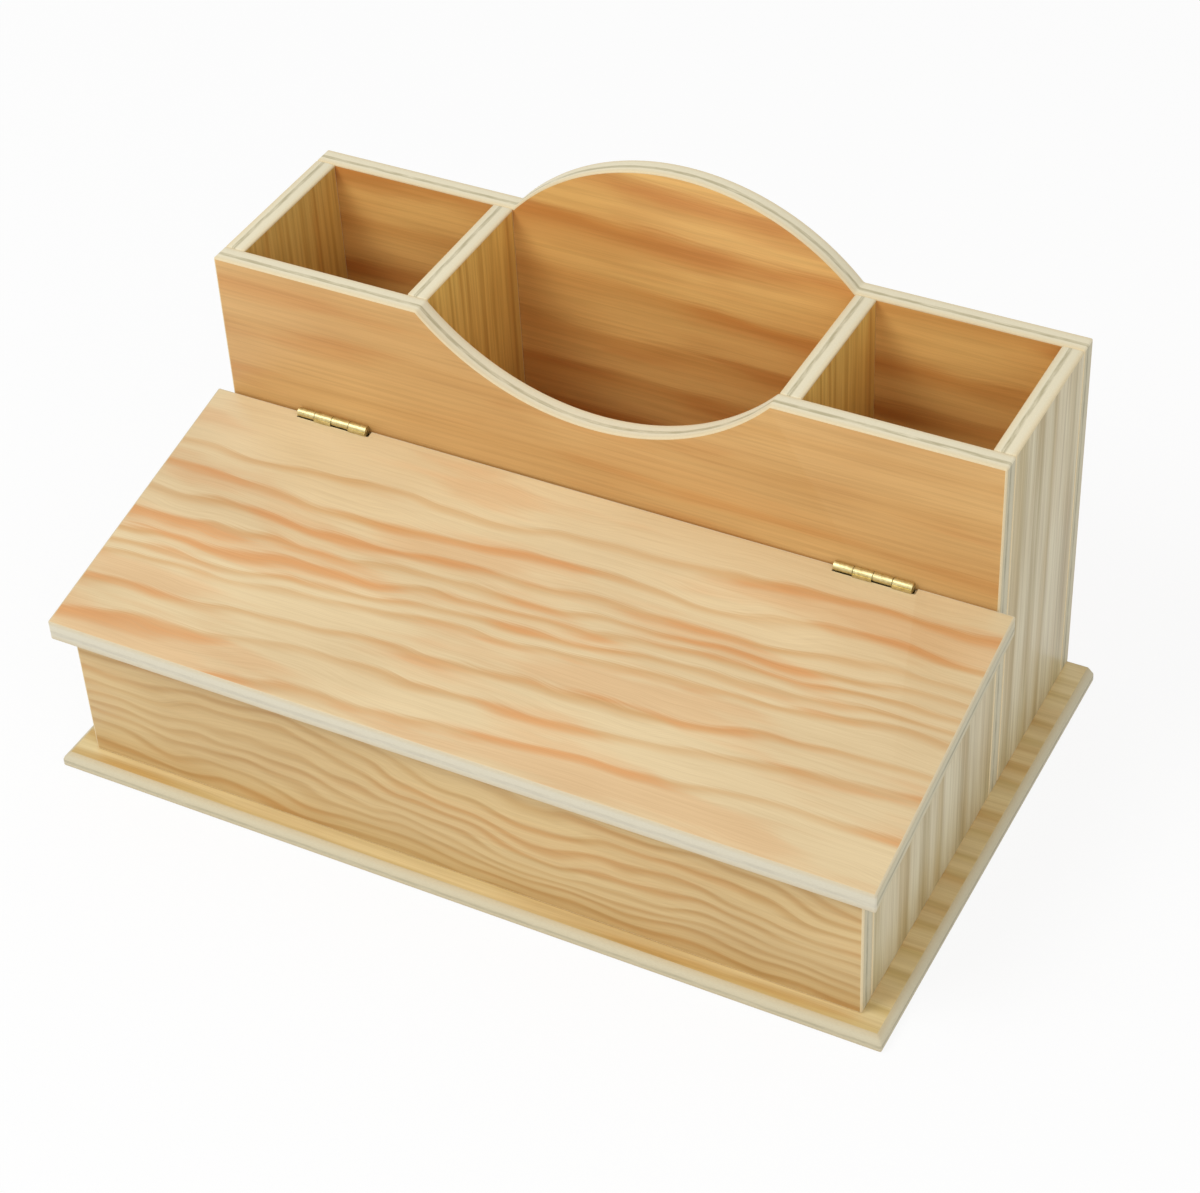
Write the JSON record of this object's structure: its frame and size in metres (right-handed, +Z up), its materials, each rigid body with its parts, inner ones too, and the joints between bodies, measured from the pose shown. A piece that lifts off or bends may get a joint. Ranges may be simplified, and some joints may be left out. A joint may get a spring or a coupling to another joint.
{
  "type": "desk organizer with lift lid",
  "caption": "Plywood desk organizer: a low box under a sloping hinged lid in front, and open upright pockets behind it between an arched back and a scooped middle panel.",
  "frame": {"origin": "centre of the base plate's underside", "axes": "+Z up, the front of the organizer faces -Y, +X to the right of someone facing its front"},
  "size_m": [0.28, 0.172, 0.157],
  "materials": {
    "base_wood": "varnished plywood, warm ochre, bevelled top edge",
    "front_wood": "varnished plywood, yellow tan with wavy grain across",
    "panel_wood": "varnished plywood, warm orange tan with fine streaks across",
    "side_wood": "varnished plywood, pale grey olive with upright grain",
    "divider_wood": "varnished plywood, olive brown with upright grain",
    "lid_wood": "varnished plywood, cream with wavy salmon bands",
    "hinge_brass": "bright plated brass",
    "screw_brass": "bright brass, countersunk heads",
    "brad_steel": "plain steel wire"
  },
  "bodies": {
    "body": {"base_plate": "base_wood", "front_panel": "front_wood", "middle_panel": "panel_wood", "back_panel": "panel_wood", "left_front_side": "side_wood", "right_front_side": "side_wood", "left_rear_side": "side_wood", "right_rear_side": "side_wood", "left_divider": "divider_wood", "right_divider": "divider_wood", "left_panel_leaf": "hinge_brass", "left_hinge_pin": "hinge_brass", "right_panel_leaf": "hinge_brass", "right_hinge_pin": "hinge_brass", "panel_leaf_screws": "screw_brass", "base_brads": "brad_steel", "back_brads": "brad_steel"},
    "lid": {"lid": "lid_wood", "left_lid_leaf": "hinge_brass", "right_lid_leaf": "hinge_brass", "lid_leaf_screws": "screw_brass"}
  },
  "joints": [
    {"name": "lid_hinge", "type": "hinge", "parent": "body", "child": "lid", "pos_m": [0, 0.016, 0.0804], "axis": [-1, 0, 0], "range_deg": [0, 103.5]}
  ]
}
